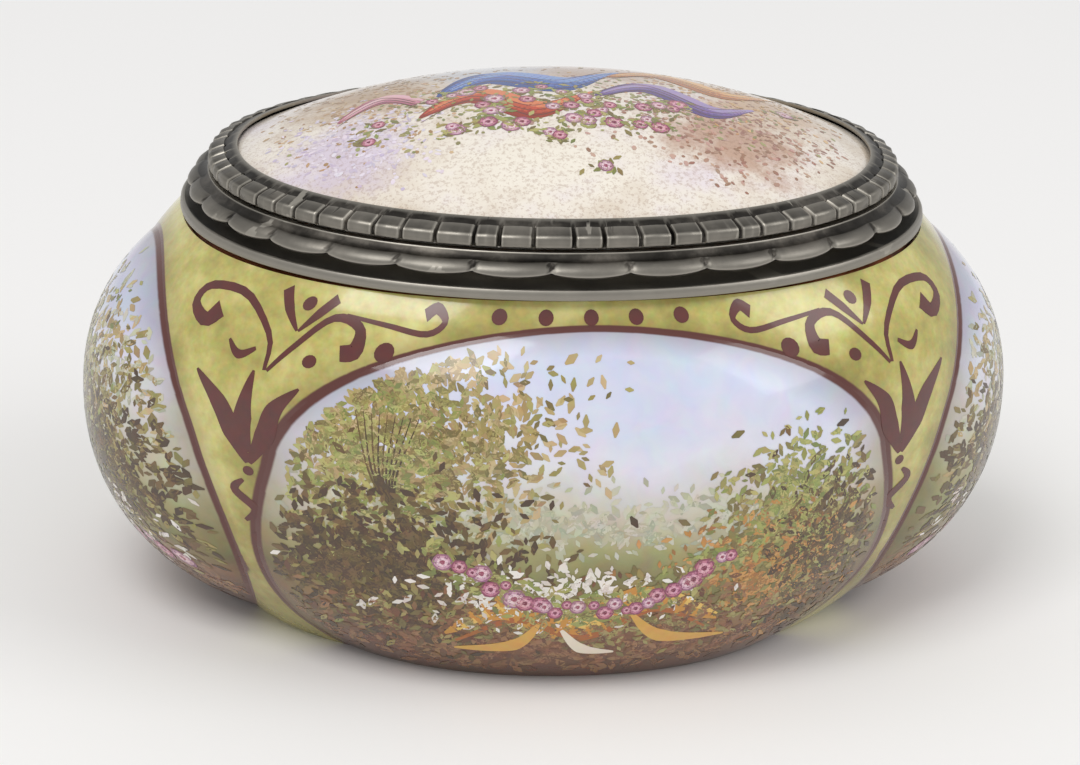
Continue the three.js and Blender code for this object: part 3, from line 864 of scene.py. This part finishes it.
def paintEnd(name, seed):
    # Wooded bank with a few roses low down
    rng = random.Random(seed)
    canvas = Canvas(lambda a, up, lift: onLobe(name, a, up, lift))
    keep = lobeKeep(name)
    leaves(canvas, rng, (0, 5), (9, 1.6), 700, foliage["earth"], 0.7, keep)
    leaves(canvas, rng, (0, 23), (9, 3.5), 900, foliage["tan"] + foliage["haze"], 0.6, keep)
    leaves(canvas, rng, (2, 19), (9, 4), 1300, foliage["olive"], 0.6, keep)
    leaves(canvas, rng, (-6, 15), (6, 4), 900, foliage["dark"], 0.6, keep)
    leaves(canvas, rng, (5, 20), (5, 4), 500, foliage["green"], 0.5, keep)
    leaves(canvas, rng, (0, 10), (8, 2), 500, foliage["pale"] + foliage["olive"], 0.5, keep)
    for k in range(14):
        across = -12 + 24 * k / 13 + rng.uniform(-0.6, 0.6)
        if keep(across, 9):
            up = 8.4 + rng.uniform(-1.2, 1.2)
            rose(canvas, across, up, rng.uniform(0.6, 1.1), pinkRose if k % 2 else paleRose)
    canvas.finish(f"body_{name}_painting", "box")


# The lid's design: clouds of stipple, and folds of ribbon each in three shades with dark lines on them
stipple = [
    (["#A88560", "#BC9A74", "#CDB08C"], (-15, 2), (6, 5), 500),
    (["#D9CEDC", "#E6DCE6", "#C9BCD0"], (-19, -7), (4, 4), 400),
    (["#9C7462", "#B08A78", "#C4A090"], (14, -7), (6, 4), 600),
    (["#C79A68", "#D8B486"], (16, 5), (6, 5), 400),
    (["#8C8A5C", "#A4A06C"], (0, -4), (9, 3), 500),
]
folds = [
    ([(-11, -1), (-6, 3), (0, 0), (5, 4)], 4.2, ("#2F4C8E", "#4C6DB4", "#7E9AD2")),
    ([(-13, -5), (-8, -2), (-3, -6), (2, -3)], 3.2, ("#96341F", "#BE4E2E", "#DB8256")),
    ([(5, 3), (10, 6), (15, 2), (20, 5)], 3.0, ("#B0692A", "#D48E40", "#E8B26C")),
    ([(3, -3), (8, 0), (13, -4), (17, -2)], 2.8, ("#5C4480", "#7C639E", "#A38FBE")),
    ([(-20, -2), (-16, 1), (-13, -2)], 2.2, ("#B2647A", "#CC8C9A", "#E2B4BC")),
]
foldLine = {"colour": "#5E3A30", "widths": [0.05, 0.16, 0.12, 0.05]}
paintedOval = {"wide": 27.0, "deep": 19.0}


def lidKeep(a, b):
    return (a / paintedOval["wide"]) ** 2 + (b / paintedOval["deep"]) ** 2 < 1


def paintLid():
    # Flowers and loose ribbons in the middle, with stippled clouds at both sides
    rng = random.Random(21)
    canvas = Canvas(onDome)
    for colours, middle, spread, count in stipple:
        for _ in range(count):
            a, b = rng.gauss(middle[0], spread[0]), rng.gauss(middle[1], spread[1])
            if lidKeep(a, b):
                canvas.dab(a, b, rng.uniform(0.15, 0.4), rng.uniform(0.1, 0.25), rng.uniform(0, 3.1),
                           rng.choice(colours), 0.1, 6)
    for points, wide, shades in folds:
        for k, colour in enumerate(shades):
            shift = k * wide * 0.16
            canvas.stroke([(a + shift, b + shift) for a, b in points],
                          [0.3] + [wide * (1 - 0.3 * k)] * (len(points) - 2) + [0.3], colour, 34)
        for k in range(3):
            canvas.stroke([(a, b + (k - 1) * wide * 0.3) for a, b in points],
                          foldLine["widths"][: len(points)], foldLine["colour"], 34)
    for k in range(40):
        a, b = rng.gauss(0, 9), rng.gauss(-6, 3.5)
        leaves(canvas, rng, (a, b), (1.0, 0.7), 12, foliage["green"] + foliage["olive"], 0.5, lidKeep)
        if lidKeep(a, b):
            rose(canvas, a, b, rng.uniform(0.6, 1.2), pinkRose if k % 2 else paleRose)
    canvas.finish("lid_painting", "lid")


paintFront("front", 3)
paintFront("back", 5)
paintEnd("left", 7)
paintEnd("right", 9)
paintLid()
print("paintings made")

# Camera, in degrees, mm and pixels, then floor and light, in metres and watts
shot = {"elevation": 21.05, "turn": 8.23, "roll": 2.14, "distance": 411.6, "aim": (-0.58, 0.0, 19.22),
        "pixelsPerMm": 10.8, "frameWide": 1080, "sensor": 36.0, "near": 0.01}
studio = {"floorHalf": 4, "sky": 0.62, "aim": (0, 0, 0.02), "lampSize": 0.5,
          "lamps": (("key", (-0.35, -0.45, 0.9), 4.2), ("fill", (0.7, -0.3, 0.6), 1.8))}


def setCamera():
    up, turn, roll = (math.radians(shot[k]) for k in ("elevation", "turn", "roll"))
    back = Vector((-math.sin(turn) * math.cos(up), -math.cos(turn) * math.cos(up), math.sin(up)))
    right = Vector((0, 0, 1)).cross(back).normalized()
    above = back.cross(right)
    tiltedRight = right * math.cos(roll) + above * math.sin(roll)
    tiltedUp = above * math.cos(roll) - right * math.sin(roll)
    camera = bpy.data.objects.new("camera", bpy.data.cameras.new("camera"))
    bpy.context.scene.collection.objects.link(camera)
    turned = Matrix((tiltedRight, tiltedUp, back)).transposed().to_4x4()
    camera.matrix_world = Matrix.Translation((Vector(shot["aim"]) + back * shot["distance"]) * mm) @ turned
    camera.data.sensor_width = shot["sensor"]
    camera.data.lens = shot["sensor"] * shot["pixelsPerMm"] * shot["distance"] / shot["frameWide"]
    camera.data.clip_start = shot["near"]
    bpy.context.scene.camera = camera


def setFloor():
    # A sheet of pale matt paper, which takes the soft shadow
    bm = bmesh.new()
    bmesh.ops.create_grid(bm, x_segments=1, y_segments=1, size=studio["floorHalf"])
    mesh = bpy.data.meshes.new("floor")
    bm.to_mesh(mesh)
    bm.free()
    floor = bpy.data.objects.new("floor", mesh)
    bpy.context.scene.collection.objects.link(floor)
    paper = newMaterial("paperSweep")
    finishMaterial(paper, {}, {"Base Color": linear("#F4F3F2"), "Roughness": 0.9, "Specular IOR Level": 0.1})
    mesh.materials.append(paper)


def setLight():
    world = bpy.data.worlds.new("studio")
    bpy.context.scene.world = world
    world.use_nodes = True
    background = world.node_tree.nodes["Background"]
    background.inputs["Color"].default_value = linear("#FFFFFF")
    background.inputs["Strength"].default_value = studio["sky"]
    for name, place, power in studio["lamps"]:
        lamp = bpy.data.lights.new(name, "AREA")
        lamp.size = studio["lampSize"]
        lamp.energy = power
        holder = bpy.data.objects.new(name, lamp)
        bpy.context.scene.collection.objects.link(holder)
        holder.location = place
        holder.rotation_euler = (Vector(place) - Vector(studio["aim"])).to_track_quat("Z", "Y").to_euler()


setCamera()
setFloor()
setLight()
bpy.context.scene.view_settings.view_transform = "Standard"
print("camera, floor and light set")
